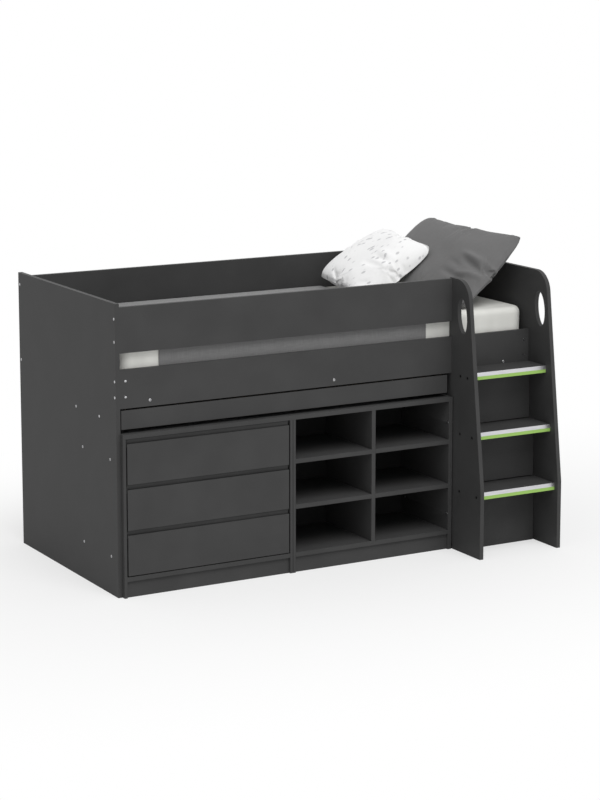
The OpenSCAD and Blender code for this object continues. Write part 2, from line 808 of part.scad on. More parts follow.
// A ring of points round a rectangle with round corners, drawn in by an inset
function round_ring(length, width, r, inset) = let (s = max(r - inset, 1))
    [for (c = [0:3], i = [0:corner_steps - 1]) let (
        a = 90 * c + 90 * i / (corner_steps - 1),
        sx = c == 0 || c == 3 ? 1 : -1,
        sy = c < 2 ? 1 : -1)
        [sx * (length / 2 - inset - s) + s * cos(a), sy * (width / 2 - inset - s) + s * sin(a)]];

// Insets and heights of the mattress's rings: round its lower edge, round its upper edge,
// and the rim of its flat middle
mattress_rings = concat(
    [for (i = [0:edge_steps]) let (a = 90 * i / edge_steps)
        [mattress_edge_r * (1 - sin(a)), mattress_edge_r * (1 - cos(a))]],
    [for (i = [0:edge_steps]) let (a = 90 * i / edge_steps)
        [mattress_edge_r * (1 - cos(a)), mattress_t - mattress_crown - mattress_edge_r * (1 - sin(a))]],
    [[mattress_w / 4, mattress_t]]);

// Height of the mattress's upper face at a place on the bed
function mattress_height(x, y) = let (
    inset = min(mattress_l / 2 - abs(x - mattress_x), mattress_w / 2 - abs(y - mattress_y)),
    share = (inset - mattress_edge_r) / (mattress_w / 4 - mattress_edge_r))
    mattress_top - mattress_crown * (1 - max(0, min(1, share)));

module mattress_body() {
    n = 4 * corner_steps;
    last = len(mattress_rings) - 1;
    points = concat(
        [for (q = mattress_rings, p = round_ring(mattress_l, mattress_w, mattress_r, q[0]))
            [p[0], p[1], q[1]]],
        [[0, 0, 0], [0, 0, mattress_t]]);
    faces = concat(
        [for (j = [0:last - 1], k = [0:n - 1]) let (a = j * n + k, b = j * n + (k + 1) % n)
            each [[a, a + n, b + n], [a, b + n, b]]],
        [for (k = [0:n - 1]) [len(points) - 2, k, (k + 1) % n]],
        [for (k = [0:n - 1]) [len(points) - 1, last * n + (k + 1) % n, last * n + k]]);
    translate([mattress_x, mattress_y, mattress_z]) polyhedron(points, faces);
}

module mattress() color([0.82, 0.82, 0.80]) mattress_body();

// The blanket's inner line across the bed: up the front of the mattress, over its top
// and down its back. u runs from -1 at the front to 1 at the back.
function blanket_line(grow) = let (
    half = mattress_w / 2 + soft_gap + grow,
    top = blanket_z + grow,
    r = mattress_edge_r + grow,
    side = concat([[-half, blanket_z - blanket_drop], [-half, top - r - blanket_drop / 3]],
        [for (i = [0:edge_steps]) let (a = 90 * i / edge_steps)
            [-half + r * (1 - cos(a)), top - r * (1 - sin(a))]],
        [[-half * 2 / 3, top], [-half / 3, top]]))
    concat(side, [[0, top]], [for (i = [len(side) - 1:-1:0]) [-side[i][0], side[i][1]]]);

// The laid blanket's low folds, which run a little aslant and fade out towards its sides
function fold(x, p) = let (u = abs(p[0]) / (inner_d / 2), flat = p[1] > blanket_z - past ? 1 : 0)
    flat * blanket_fold * (1 - u * u)
    * (1 + sin(360 * (x + fold_slant * p[0]) / fold_pitch) * cos(360 * x / fold_swell)) / 2;

module blanket_body() {
    inner = blanket_line(0);
    outer = blanket_line(blanket_t);
    m = len(inner);
    n = 2 * m;
    ring = concat(outer, [for (i = [m - 1:-1:0]) inner[i]]);
    points = [for (j = [0:blanket_steps], p = ring) let (x = blanket_l * j / blanket_steps)
        [x, p[0], p[1] + fold(x, p)]];
    faces = concat(
        [for (j = [0:blanket_steps - 1], k = [0:n - 1]) let (a = j * n + k, b = j * n + (k + 1) % n)
            each [[a, b + n, a + n], [a, b, b + n]]],
        [for (k = [0:m - 2]) each [[k, n - 2 - k, k + 1], [k, n - 1 - k, n - 2 - k]]],
        [for (k = [0:m - 2]) let (s = blanket_steps * n)
            each [[s + k, s + k + 1, s + n - 2 - k], [s + k, s + n - 2 - k, s + n - 1 - k]]]);
    translate([blanket_x, mattress_y, 0]) polyhedron(points, faces);
}

module blanket() color([0.42, 0.42, 0.42]) blanket_body();

// How far a pillow swells at u and v, which run from -1 to 1 across it
function swell(u, v) = pow(max(0, (1 - u * u) * (1 - v * v)), swell_power);

// The share of a pillow's size that is left where its sides draw in
function drawn_in(u) = 1 - pillow_pinch * (1 - u * u);

// The rotation that rotate() makes of three angles
function turn_matrix(a) = let (
    cx = cos(a[0]), sx = sin(a[0]), cy = cos(a[1]), sy = sin(a[1]), cz = cos(a[2]), sz = sin(a[2]))
    [[cz * cy, cz * sy * sx - sz * cx, cz * sy * cx + sz * sx],
    [sz * cy, sz * sy * sx + cz * cx, sz * sy * cx - cz * sx],
    [-sy, cy * sx, cy * cx]];

// A pillow's points by its width across the slope, its length along the bed's width, and
// its height over and under its seam: the upper side with the seam, then the lower side
function pillow_points(width, length, over, under, turn, at) = let (
    m = turn_matrix(turn),
    side = [for (i = [0:grid]) sin(90 * (2 * i / grid - 1))],
    spot = function (u, v, high) at + m * [u * width / 2 * drawn_in(v),
        v * length / 2 * drawn_in(u), high * swell(u, v)])
    concat([for (u = side, v = side) spot(u, v, over)],
    [for (i = [1:grid - 1], j = [1:grid - 1]) spot(side[i], side[j], -under)]);

function on_rim(i, j) = i == 0 || j == 0 || i == grid || j == grid;
function upper_index(i, j) = i * (grid + 1) + j;
function lower_index(i, j) = on_rim(i, j) ? upper_index(i, j)
    : (grid + 1) * (grid + 1) + (i - 1) * (grid - 1) + j - 1;

// Two triangles of a cell by its corners in turn. Their shared edge points at the pillow's
// middle, so that a corner's two sides part at its tip.
function cell(i, j, a, b, c, d) = (i < grid / 2) == (j < grid / 2)
    ? [[a, b, c], [a, c, d]]
    : [[a, b, d], [b, c, d]];
pillow_faces = [for (i = [0:grid - 1], j = [0:grid - 1]) each concat(
    cell(i, j, upper_index(i, j), upper_index(i, j + 1), upper_index(i + 1, j + 1), upper_index(i + 1, j)),
    cell(i, j, lower_index(i, j), lower_index(i + 1, j), lower_index(i + 1, j + 1), lower_index(i, j + 1)))];

// A pillow's point, pressed flat where it lies on the mattress or the blanket
function on_bed(p) = let (
    reach = blanket_x + blanket_l + white_s / grid,
    height = p[0] < reach ? blanket_z + blanket_t + blanket_fold : mattress_height(p[0], p[1]))
    [p[0], p[1], max(p[2], height + bed_rest)];

// A point pressed out of the grey pillow, to lie on its upper side. Past its seam the
// limit falls away as fast as it goes out.
function on_grey(p) = let (
    m = turn_matrix(grey_turn),
    q = (p - grey_at) * m,
    half_w = grey_w / 2 + pillow_rest,
    half_l = grey_l / 2 + pillow_rest,
    u = q[0] / half_w / drawn_in(min(1, abs(q[1]) / half_l)),
    v = q[1] / half_l / drawn_in(min(1, abs(u))),
    outside = max((abs(u) - 1) * half_w, (abs(v) - 1) * half_l),
    limit = outside > 0 ? -outside : (grey_over + pillow_rest) * swell(u, v))
    grey_at + m * [q[0], q[1], max(q[2], limit)];

// The end panel's upper inner edge as the grey pillow's own frame has it, and the depth of
// the lower side that leans on it there, or just short of where that side falls away
edge_in_grey = ([right_x, grey_y, end_h] - grey_at) * turn_matrix(grey_turn);
lean_u = min(edge_in_grey[0] / (grey_w / 2) / drawn_in(0), fall_u);
grey_under = (-edge_in_grey[2] - soft_gap) / swell(lean_u, 0);

module grey_pillow() color([0.43, 0.43, 0.43])
    polyhedron([for (p = pillow_points(grey_w, grey_l, grey_over, grey_under, grey_turn, grey_at)) on_bed(p)],
        pillow_faces);

// The white pillow leans on the grey one
module white_pillow() color([0.93, 0.93, 0.93])
    polyhedron([for (p = pillow_points(white_s, white_s, white_over, white_under, white_turn, white_at))
        on_bed(on_grey(p))], pillow_faces);

place() {
    left_end_panel();
    right_end_panel();
    ladder_side_panel();
    front_guard_rail();
    front_side_rail();
    back_panel();
    slat_battens();
    mattress_slats();
    tread(2);  // upper_tread
    tread(1);  // middle_tread
    tread(0);  // lower_tread
    tread_grip(2);  // upper_tread_grip
    tread_grip(1);  // middle_tread_grip
    tread_grip(0);  // lower_tread_grip
    tread_edging(2);  // upper_tread_edging
    tread_edging(1);  // middle_tread_edging
    tread_edging(0);  // lower_tread_edging
    upper_kick_board();
    middle_kick_board();
    lower_kick_board();
    storage_top();
    chest_left_side();
    chest_right_side();
    chest_base();
    chest_plinth();
    chest_back();
    chest_runners_left();
    chest_runners_right();
    drawer_front(1);  // drawer_1_front
    drawer_box(1);  // drawer_1_box
    drawer_base(1);  // drawer_1_base
    drawer_runners(1);  // drawer_1_runners
    drawer_front(2);  // drawer_2_front
    drawer_box(2);  // drawer_2_box
    drawer_base(2);  // drawer_2_base
    drawer_runners(2);  // drawer_2_runners
    drawer_front(3);  // drawer_3_front
    drawer_box(3);  // drawer_3_box
    drawer_base(3);  // drawer_3_base
    drawer_runners(3);  // drawer_3_runners
    bookcase_left_side();
    bookcase_divider();
    bookcase_right_side();
    bookcase_base();
    bookcase_plinth();
    bookcase_back();
    bookcase_shelves();
    desk_top();
    desk_fascia();
    desk_underframe();
    desk_runner_packer();
    desk_fixed_runners();
    desk_moving_runners();
    frame_bolts();
    ladder_bolts();
    storage_bolts();
    mattress();
    blanket();
    white_pillow();
    grey_pillow();
}
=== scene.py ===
"""Mid sleeper bed: finishes, bedding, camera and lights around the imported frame.

Everything is in metres, in the frame's own place: X along the bed, Y towards its back,
Z up from the floor.
"""
import json
import math

import bmesh
import bpy
from mathutils import Matrix, Vector, bvhtree, noise


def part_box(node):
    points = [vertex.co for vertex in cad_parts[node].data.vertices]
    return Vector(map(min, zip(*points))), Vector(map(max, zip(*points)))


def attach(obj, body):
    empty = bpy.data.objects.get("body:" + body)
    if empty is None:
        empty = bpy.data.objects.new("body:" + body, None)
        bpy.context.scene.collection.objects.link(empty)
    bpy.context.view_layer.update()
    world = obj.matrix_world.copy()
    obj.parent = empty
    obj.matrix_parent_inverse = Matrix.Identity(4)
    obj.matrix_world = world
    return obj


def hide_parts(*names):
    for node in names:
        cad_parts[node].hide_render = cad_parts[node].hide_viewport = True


MM = 0.001

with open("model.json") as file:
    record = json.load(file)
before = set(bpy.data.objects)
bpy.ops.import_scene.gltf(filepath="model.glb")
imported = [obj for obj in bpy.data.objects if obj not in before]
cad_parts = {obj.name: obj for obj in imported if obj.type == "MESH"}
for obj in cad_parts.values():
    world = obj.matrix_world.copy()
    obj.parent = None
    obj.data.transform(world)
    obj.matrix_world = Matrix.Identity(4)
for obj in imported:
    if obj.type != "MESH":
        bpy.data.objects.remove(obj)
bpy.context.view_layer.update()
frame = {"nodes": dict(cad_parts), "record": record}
nodes = frame["nodes"]
slot_of = {part["node"]: part["material_slot"] for part in frame["record"]["subparts"]}


# Shader nodes

def colour(code):
    """An sRGB hex colour as linear red, green, blue and alpha."""
    parts = [int(code[i:i + 2], 16) / 255 for i in (1, 3, 5)]
    return [p / 12.92 if p <= 0.04045 else ((p + 0.055) / 1.055) ** 2.4 for p in parts] + [1.0]


def per_metre(size):
    """How often a pattern of a size in millimetres repeats in a metre."""
    return 1000 / size


def bands(pitch):
    """The scale at which a wave texture's bands have a pitch in millimetres. At a scale of 1
    they are pi / 10 metres apart."""
    return per_metre(pitch) * math.pi / 10


def add(tree, kind, settings=None, inputs=None):
    """Add a shader node with its settings and its inputs. An input is a value or a link. A Mix
    node of colours takes its share at 0 and its colours at 6 and 7, and gives its mix at 2."""
    made = tree.nodes.new("ShaderNode" + kind)
    for name, value in (settings or {}).items():
        setattr(made, name, value)
    for key, value in (inputs or {}).items():
        if isinstance(value, bpy.types.NodeSocket):
            tree.links.new(value, made.inputs[key])
        else:
            made.inputs[key].default_value = value
    return made.outputs


def new_tree(name):
    """A material by its name, and its empty node tree."""
    made = bpy.data.materials.new(name)
    made.use_nodes = True
    made.node_tree.nodes.clear()
    return made, made.node_tree


# Dark board foil is nearly matt: it has little gloss of its own, under a thin satin coat
BOARD_SPECULAR = 0.045
BOARD_COAT = 0.10
BOARD_COAT_ROUGHNESS = 0.32


def faced_board(name, low, high, roughness, grain):
    """Melamine-faced chipboard, pressed against a fine-grained plate: an even dark grey with
    a soft satin sheen at a low angle, and a grain, in millimetres, that only breaks up its
    highlights."""
    made, tree = new_tree(name)
    place = add(tree, "TexCoord")["Object"]
    cloudy = add(tree, "TexNoise", None, {"Vector": place, "Scale": per_metre(160)})[0]
    fine = add(tree, "TexNoise", None, {"Vector": place, "Scale": per_metre(grain)})[0]
    both = add(tree, "Math", {"operation": "ADD"}, {0: cloudy, 1: fine})[0]
    share = add(tree, "MapRange", None, {"Value": both, "From Min": 0.7, "From Max": 1.3})[0]
    tone = add(tree, "Mix", {"data_type": "RGBA"}, {0: share, 6: colour(low), 7: colour(high)})[2]
    matt = add(tree, "MapRange", None, {
        "Value": cloudy, "From Min": 0.3, "From Max": 0.7, "To Min": roughness - 0.03,
        "To Max": roughness + 0.03})[0]
    bump = add(tree, "Bump", None, {"Strength": 0.10, "Distance": 0.2 * MM, "Height": fine})[0]
    shader = add(tree, "BsdfPrincipled", None, {
        "Base Color": tone, "Roughness": matt, "Specular IOR Level": BOARD_SPECULAR, "Normal": bump,
        "Coat Weight": BOARD_COAT, "Coat Roughness": BOARD_COAT_ROUGHNESS})
    add(tree, "OutputMaterial", None, {"Surface": shader[0]})
    return made


def plain_metal(name, tone, roughness, streak):
    """A plated or blackened steel: a soft grain from drawing and turning, whose streaks have
    a width in millimetres."""
    made, tree = new_tree(name)
    place = add(tree, "TexCoord")["Object"]
    along = add(tree, "Mapping", None, {"Vector": place, "Scale": (0.08, 1, 1)})[0]
    lines = add(tree, "TexNoise", None, {
        "Vector": along, "Scale": per_metre(streak), "Detail": 4.0})[0]
    matt = add(tree, "MapRange", None, {
        "Value": lines, "From Min": 0.3, "From Max": 0.7, "To Min": roughness - 0.06,
        "To Max": roughness + 0.06})[0]
    bump = add(tree, "Bump", None, {"Strength": 0.15, "Distance": 0.1 * MM, "Height": lines})[0]
    shader = add(tree, "BsdfPrincipled", None, {
        "Base Color": colour(tone), "Metallic": 1.0, "Normal": bump, "Roughness": matt})
    add(tree, "OutputMaterial", None, {"Surface": shader[0]})
    return made


# The pitch of the strips' ribs in millimetres
RIB_PITCH = 2.5


def tread_strip(name):
    """Anodised aluminium, extruded with fine ribs along its length that stop a foot from
    slipping, drawn coarse enough to show. Treading has dulled its grey a little in places."""
    made, tree = new_tree(name)
    place = add(tree, "TexCoord")["Object"]
    ribs_up = add(tree, "TexWave", {"bands_direction": "Z"}, {
        "Vector": place, "Scale": bands(RIB_PITCH)})[1]
    ribs_back = add(tree, "TexWave", {"bands_direction": "Y"}, {
        "Vector": place, "Scale": bands(RIB_PITCH)})[1]
    ribs = add(tree, "Math", {"operation": "ADD"}, {0: ribs_up, 1: ribs_back})[0]
    along = add(tree, "Mapping", None, {"Vector": place, "Scale": (0.12, 1, 1)})[0]
    patches = add(tree, "TexNoise", None, {
        "Vector": along, "Scale": per_metre(9), "Detail": 4.0, "Roughness": 0.6})[0]
    worn = add(tree, "MapRange", None, {"Value": patches, "From Min": 0.35, "From Max": 0.65})[0]
    tone = add(tree, "Mix", {"data_type": "RGBA"}, {
        0: worn, 6: colour("#CECDD0"), 7: colour("#D8D8DA")})[2]
    matt = add(tree, "MapRange", None, {"Value": worn, "To Min": 0.42, "To Max": 0.38})[0]
    bump = add(tree, "Bump", None, {"Strength": 0.2, "Distance": 0.2 * MM, "Height": ribs})[0]
    shader = add(tree, "BsdfPrincipled", None, {
        "Base Color": tone, "Metallic": 1.0, "Roughness": matt, "Normal": bump})
    add(tree, "OutputMaterial", None, {"Surface": shader[0]})
    return made


def edging_strip(name, low, high):
    """ABS edging strip, extruded: an even colour with a satin face and faint drawn lines."""
    made, tree = new_tree(name)
    place = add(tree, "TexCoord")["Object"]
    along = add(tree, "Mapping", None, {"Vector": place, "Scale": (0.1, 1, 1)})[0]
    cloudy = add(tree, "TexNoise", None, {"Vector": along, "Scale": per_metre(25)})[0]
    lines = add(tree, "TexNoise", None, {"Vector": along, "Scale": per_metre(1.5)})[0]
    tone = add(tree, "Mix", {"data_type": "RGBA"}, {0: cloudy, 6: colour(low), 7: colour(high)})[2]
    matt = add(tree, "MapRange", None, {
        "Value": cloudy, "From Min": 0.3, "From Max": 0.7, "To Min": 0.40, "To Max": 0.48})[0]
    bump = add(tree, "Bump", None, {"Strength": 0.08, "Distance": 0.2 * MM, "Height": lines})[0]
    shader = add(tree, "BsdfPrincipled", None, {
        "Base Color": tone, "Roughness": matt, "Specular IOR Level": 0.3, "Normal": bump})
    add(tree, "OutputMaterial", None, {"Surface": shader[0]})
    return made


def planed_pine(name):
    """Pine, planed and bare: long rings of early and late wood along each board, matt."""
    made, tree = new_tree(name)
    place = add(tree, "TexCoord")["Object"]
    along = add(tree, "Mapping", None, {"Vector": place, "Scale": (1, 0.06, 1)})[0]
    wavy = add(tree, "TexNoise", None, {"Vector": along, "Scale": per_metre(30)})[0]
    rings = add(tree, "TexWave", {"bands_direction": "X"}, {
        "Vector": along, "Scale": bands(12), "Distortion": 5.0, "Detail": 2.0})[1]
    fibre = add(tree, "TexNoise", None, {"Vector": along, "Scale": per_metre(1.5), "Detail": 3.0})[0]
    share = add(tree, "Math", {"operation": "MULTIPLY"}, {0: rings, 1: wavy})[0]
    tone = add(tree, "Mix", {"data_type": "RGBA"}, {
        0: share, 6: colour("#DDBE8C"), 7: colour("#B98F58")})[2]
    bump = add(tree, "Bump", None, {"Strength": 0.2, "Distance": 0.2 * MM, "Height": fibre})[0]
    shader = add(tree, "BsdfPrincipled", None, {
        "Base Color": tone, "Roughness": 0.62, "Specular IOR Level": 0.3, "Normal": bump})
    add(tree, "OutputMaterial", None, {"Surface": shader[0]})
    return made


# A printed cloth has two sets of flecks. Each set has a turn in degrees, a squeeze that makes
# its flecks long, and a shift in metres. The flecks of a set lie a pitch in millimetres apart,
# and fade out at a share of it from their middles.
FLECK_SETS = ((25, 1.7, 0.0), (-50, 1.5, 0.7))
FLECK_PITCH = 40
FLECK_SHARE = 0.29
FLECK_STRENGTH = 0.8


def woven_cloth(name, low, high, thread, heather, nap, print_tone=None):
    """Plain-woven cloth. Its threads cross on the sheet's own UV map, which is in metres, at a
    spacing in millimetres, drawn as coarse as it needs to show. Heathered yarn and soft clouds
    vary its colour, and its nap is its soft sheen. A print is small flecks in a second tone."""
    made, tree = new_tree(name)
    flat = add(tree, "UVMap", {"uv_map": "cut"})[0]
    warp = add(tree, "TexWave", {"bands_direction": "X"}, {
        "Vector": flat, "Scale": bands(thread), "Distortion": 0.6, "Detail": 1.0})[1]
    weft = add(tree, "TexWave", {"bands_direction": "Y"}, {
        "Vector": flat, "Scale": bands(thread), "Distortion": 0.6, "Detail": 1.0})[1]
    weave = add(tree, "Math", {"operation": "ADD"}, {0: warp, 1: weft})[0]
    long_x = add(tree, "Mapping", None, {"Vector": flat, "Scale": (0.08, 1, 1)})[0]
    long_y = add(tree, "Mapping", None, {"Vector": flat, "Scale": (1, 0.08, 1)})[0]
    yarn_x = add(tree, "TexNoise", None, {"Vector": long_x, "Scale": per_metre(thread)})[0]
    yarn_y = add(tree, "TexNoise", None, {"Vector": long_y, "Scale": per_metre(thread)})[0]
    yarns = add(tree, "Math", {"operation": "ADD"}, {0: yarn_x, 1: yarn_y})[0]
    clouds = add(tree, "TexNoise", None, {"Vector": flat, "Scale": per_metre(90)})[0]
    tint = add(tree, "MapRange", None, {
        "Value": yarns, "From Min": 0.75, "From Max": 1.25, "To Min": 0.5 - heather,
        "To Max": 0.5 + heather})[0]
    share = add(tree, "Math", {"operation": "MULTIPLY_ADD", "use_clamp": True}, {
        0: clouds, 1: 0.3, 2: tint})[0]
    tone = add(tree, "Mix", {"data_type": "RGBA"}, {0: share, 6: colour(low), 7: colour(high)})[2]
    if print_tone:
        for turn, squeeze, shift in FLECK_SETS:
            laid = add(tree, "Mapping", None, {
                "Vector": flat, "Rotation": (0, 0, math.radians(turn)), "Scale": (1, squeeze, 1),
                "Location": (shift, shift, 0)})[0]
            near = add(tree, "TexVoronoi", {"feature": "F1"}, {
                "Vector": laid, "Scale": per_metre(FLECK_PITCH), "Randomness": 0.8})["Distance"]
            fleck = add(tree, "MapRange", {"interpolation_type": "SMOOTHSTEP"}, {
                "Value": near, "From Min": FLECK_SHARE, "From Max": FLECK_SHARE / 2,
                "To Min": 0.0, "To Max": FLECK_STRENGTH})[0]
            tone = add(tree, "Mix", {"data_type": "RGBA"}, {
                0: fleck, 6: tone, 7: colour(print_tone)})[2]
    bump = add(tree, "Bump", None, {"Strength": 0.3, "Distance": 0.3 * MM, "Height": weave})[0]
    shader = add(tree, "BsdfPrincipled", None, {
        "Base Color": tone, "Roughness": 0.9, "Normal": bump, "Sheen Weight": nap,
        "Sheen Roughness": 0.4, "Specular IOR Level": 0.2})
    add(tree, "OutputMaterial", None, {"Surface": shader[0]})
    return made


def knitted_cover(name):
    """Double-knit mattress cover: small raised stitches in rows, drawn as coarse as they need
    to be to show, faint upright streaks down its sides and a soft, matt face."""
    made, tree = new_tree(name)
    place = add(tree, "TexCoord")["Object"]
    stitches = add(tree, "TexVoronoi", {"feature": "F1"}, {
        "Vector": place, "Scale": per_metre(6), "Randomness": 0.35})["Distance"]
    upright = add(tree, "Mapping", None, {"Vector": place, "Scale": (1, 1, 0.12)})[0]
    streaks = add(tree, "TexNoise", None, {
        "Vector": upright, "Scale": per_metre(45), "Detail": 0.5})[0]
    clouds = add(tree, "TexNoise", None, {"Vector": place, "Scale": per_metre(120)})[0]
    both = add(tree, "Math", {"operation": "ADD"}, {0: streaks, 1: clouds})[0]
    share = add(tree, "MapRange", None, {"Value": both, "From Min": 0.75, "From Max": 1.25})[0]
    tone = add(tree, "Mix", {"data_type": "RGBA"}, {
        0: share, 6: colour("#D6D6D1"), 7: colour("#DFDFDA")})[2]
    bump = add(tree, "Bump", None, {"Strength": 0.25, "Distance": 0.4 * MM, "Height": stitches})[0]
    shader = add(tree, "BsdfPrincipled", None, {
        "Base Color": tone, "Roughness": 0.92, "Specular IOR Level": 0.2, "Normal": bump})
    add(tree, "OutputMaterial", None, {"Surface": shader[0]})
    return made


# One finish for each material slot of the record

FINISHES = {
    "grey_board": faced_board(
        "grey_melamine_board", "#3F3F3F", "#464646", roughness=0.54, grain=1.6),
    "drawer_board": faced_board(
        "drawer_side_foil", "#4A4A4B", "#515152", roughness=0.55, grain=1.6),
    "thin_sheet": faced_board(
        "lacquered_hardboard", "#2C2C2C", "#333333", roughness=0.60, grain=2.5),
    "tread_metal": tread_strip("anodised_aluminium_strip"),
    "green_edging": edging_strip("green_abs_edging", "#90B85A", "#9BC168"),
    "slat_wood": planed_pine("planed_pine"),
    "runner_steel": plain_metal("zinc_plated_steel", "#B8B9BB", roughness=0.36, streak=1.0),
    "bright_bolts": plain_metal("nickel_plated_steel", "#C4C4C6", roughness=0.30, streak=1.0),
    "dark_bolts": plain_metal("blackened_steel", "#232323", roughness=0.45, streak=1.0),
    "mattress_ticking": knitted_cover("knitted_mattress_cover"),
    "blanket_fabric": woven_cloth(
        "heathered_blanket_cloth", "#606060", "#787878", thread=3.5, heather=0.22, nap=0.8),
    "grey_cotton": woven_cloth(
        "grey_pillow_cotton", "#646363", "#707070", thread=2.5, heather=0.2, nap=0.2),
    "white_cotton": woven_cloth(
        "white_pillow_cotton", "#EAEAEA", "#F4F4F4", thread=2.5, heather=0.15, nap=0.1,
        print_tone="#BCBCBE"),
}


# Meshes

def new_piece(name, bm, slot, body="bed"):
    """A finished piece from a bmesh, with the slot's finish, riding on its body."""
    mesh = bpy.data.meshes.new(name)
    bm.to_mesh(mesh)
    bm.free()
    made = bpy.data.objects.new(name, mesh)
    bpy.context.scene.collection.objects.link(made)
    mesh.materials.append(FINISHES[slot])
    for face in mesh.polygons:
        face.use_smooth = True
    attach(made, body)
    return made


def uneven(x, y, size, seed):
    """Soft unevenness from -1 to 1 over a surface, whose waves have a size in millimetres."""
    return noise.noise(Vector((x * per_metre(size), y * per_metre(size), seed)))


# The boards and metal of the frame keep their shapes and get finishes and softened edges,
# whose radii are in millimetres

EDGE_RADIUS = {"grey_board": 0.6, "drawer_board": 0.5, "thin_sheet": 0.3, "tread_metal": 0.5,
               "green_edging": 0.4, "slat_wood": 1.5, "runner_steel": 0.2}

for name, node in nodes.items():
    slot = slot_of[name]
    node.data.materials.clear()
    node.data.materials.append(FINISHES[slot])
    if slot in EDGE_RADIUS:
        weld = node.modifiers.new("weld", "WELD")
        weld.merge_threshold = 0.01 * MM
        flat = node.modifiers.new("whole_faces", "DECIMATE")
        flat.decimate_type = "DISSOLVE"
        flat.angle_limit = math.radians(0.5)
        soften = node.modifiers.new("soften", "BEVEL")
        soften.width = EDGE_RADIUS[slot] * MM
        soften.segments = 2
        soften.limit_method = "ANGLE"
        soften.angle_limit = math.radians(40)
        soften.harden_normals = True


# Fasteners: each plain bolt and screw of the frame gets its socket and chamfers

FASTENERS = {"frame_bolts": "frame_socket_bolts", "ladder_bolts": "ladder_socket_bolts",
             "storage_bolts": "storage_socket_bolts"}
# A bolt's or screw's head is wider than this, and a barrel nut is narrower
HEAD_WIDTH = 10.5 * MM
HEAD_THICK = 1.2 * MM
SHANK_R = 3 * MM
TIP_CHAMFER = 0.6 * MM
SOCKET_HALF = 2.0 * MM
SOCKET_DEPTH = 2.4 * MM
LATHE_SIDES = 24
AXES = (Vector((1, 0, 0)), Vector((0, 1, 0)), Vector((0, 0, 1)))


def solids_of(bm):
    """The corners of each separate solid of a mesh."""
    seen = set()
    found = []
    for first in bm.verts:
        if first in seen:
            continue
        seen.add(first)
        group = [first]
        for vert in group:
            for edge in vert.link_edges:
                other = edge.other_vert(vert)
                if other not in seen:
                    seen.add(other)
                    group.append(other)
        found.append(group)
    return found


def turned_part(bm, rings, place):
    """A part turned on a lathe, from rings of a radius, a height and a share from 0 to 1 of
    how far a ring is cut to six flats. Its first and last rings are closed."""
    verts = []
    last = None
    for radius, height, flats in rings:
        circle = bmesh.ops.create_circle(bm, segments=LATHE_SIDES, radius=1)["verts"]
        for vert in circle:
            a = math.atan2(vert.co.y, vert.co.x)
            off_flat = math.radians(30) - a % math.radians(60)
            out = radius * (1 - flats + flats / math.cos(off_flat))
            vert.co = Vector((out * math.cos(a), out * math.sin(a), height))
        verts += circle
        rim = list(dict.fromkeys(edge for vert in circle for edge in vert.link_edges))
        if last:
            bmesh.ops.bridge_loops(bm, edges=last + rim)
        else:
            bmesh.ops.contextual_create(bm, geom=rim)
        last = rim
    bmesh.ops.contextual_create(bm, geom=last)
    bmesh.ops.transform(bm, matrix=place, verts=verts)


def socket_bolt(bm, corners):
    """A bolt with a low round head and a hexagon socket, where the frame has a plain one with
    these corners."""
    low = Vector([min(c[i] for c in corners) for i in range(3)])
    high = Vector([max(c[i] for c in corners) for i in range(3)])
    size = high - low
    middle = (low + high) / 2
    axis = max(range(3), key=lambda i: size[i])
    length = size[axis]
    head_r = size[(axis + 1) % 3] / 2
    head = [c[axis] for c in corners
            if (c - middle - (c - middle)[axis] * AXES[axis]).length > (SHANK_R + head_r) / 2]
    way = 1 if sum(head) / len(head) < middle[axis] else -1
    tip = [(SHANK_R - TIP_CHAMFER, length, 0), (SHANK_R, length - TIP_CHAMFER, 0)]
    domed_head = [(SHANK_R, HEAD_THICK, 0), (head_r, HEAD_THICK, 0),
                  (head_r, HEAD_THICK * 0.6, 0), (head_r * 0.92, HEAD_THICK * 0.25, 0),
                  (head_r * 0.7, 0, 0)]
    socket = [(SOCKET_HALF, 0, 1), (SOCKET_HALF, SOCKET_DEPTH, 1)]
    turn = AXES[2].rotation_difference(way * AXES[axis])
    place = Matrix.LocRotScale(middle - way * AXES[axis] * length / 2, turn, None)
    turned_part(bm, tip + domed_head + socket, place)


def fasteners(node, name):
    """A node's fasteners: socket bolts for its plain bolts and screws, and its barrel nuts as
    they are."""
    bm = bmesh.new()
    bm.from_mesh(nodes[node].data)
    bmesh.ops.remove_doubles(bm, verts=bm.verts, dist=0.001 * MM)
    plain = []
    for solid in solids_of(bm):
        widths = sorted(max(v.co[i] for v in solid) - min(v.co[i] for v in solid) for i in range(3))
        if widths[1] > HEAD_WIDTH:
            plain.append(solid)
    places = [[vert.co.copy() for vert in solid] for solid in plain]
    bmesh.ops.delete(bm, geom=[vert for solid in plain for vert in solid], context="VERTS")
    for corners in places:
        socket_bolt(bm, corners)
    bmesh.ops.recalc_face_normals(bm, faces=bm.faces)
    made = new_piece(name, bm, slot_of[node])
    made.data.set_sharp_from_angle(angle=math.radians(35))
    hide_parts(node)


for node, name in FASTENERS.items():
    fasteners(node, name)


# Bedding: the mattress

MATTRESS_EDGE = 26 * MM
MATTRESS_CORNER = 58 * MM
MATTRESS_CROWN = 4 * MM
# How many slices it is cut into along X, Y and Z
MATTRESS_SLICES = (94, 44, 8)
# Its sides stand in by an inset, and at the creases by up to their depth more. They do so up
# to a reach in from its flat faces. The creases' pitch is in millimetres.
SIDE_INSET = 0.2 * MM
SIDE_REACH = 3 * MM
CREASE_DEPTH = 4 * MM
CREASE_PITCH = 150
# Its top has low hollows, whose pitch is in millimetres
HOLLOW_DEPTH = 0.8 * MM
HOLLOW_PITCH = 210
mattress_low, mattress_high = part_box("mattress")
mattress_middle = (mattress_low + mattress_high) / 2
mattress_half = (mattress_high - mattress_low) / 2


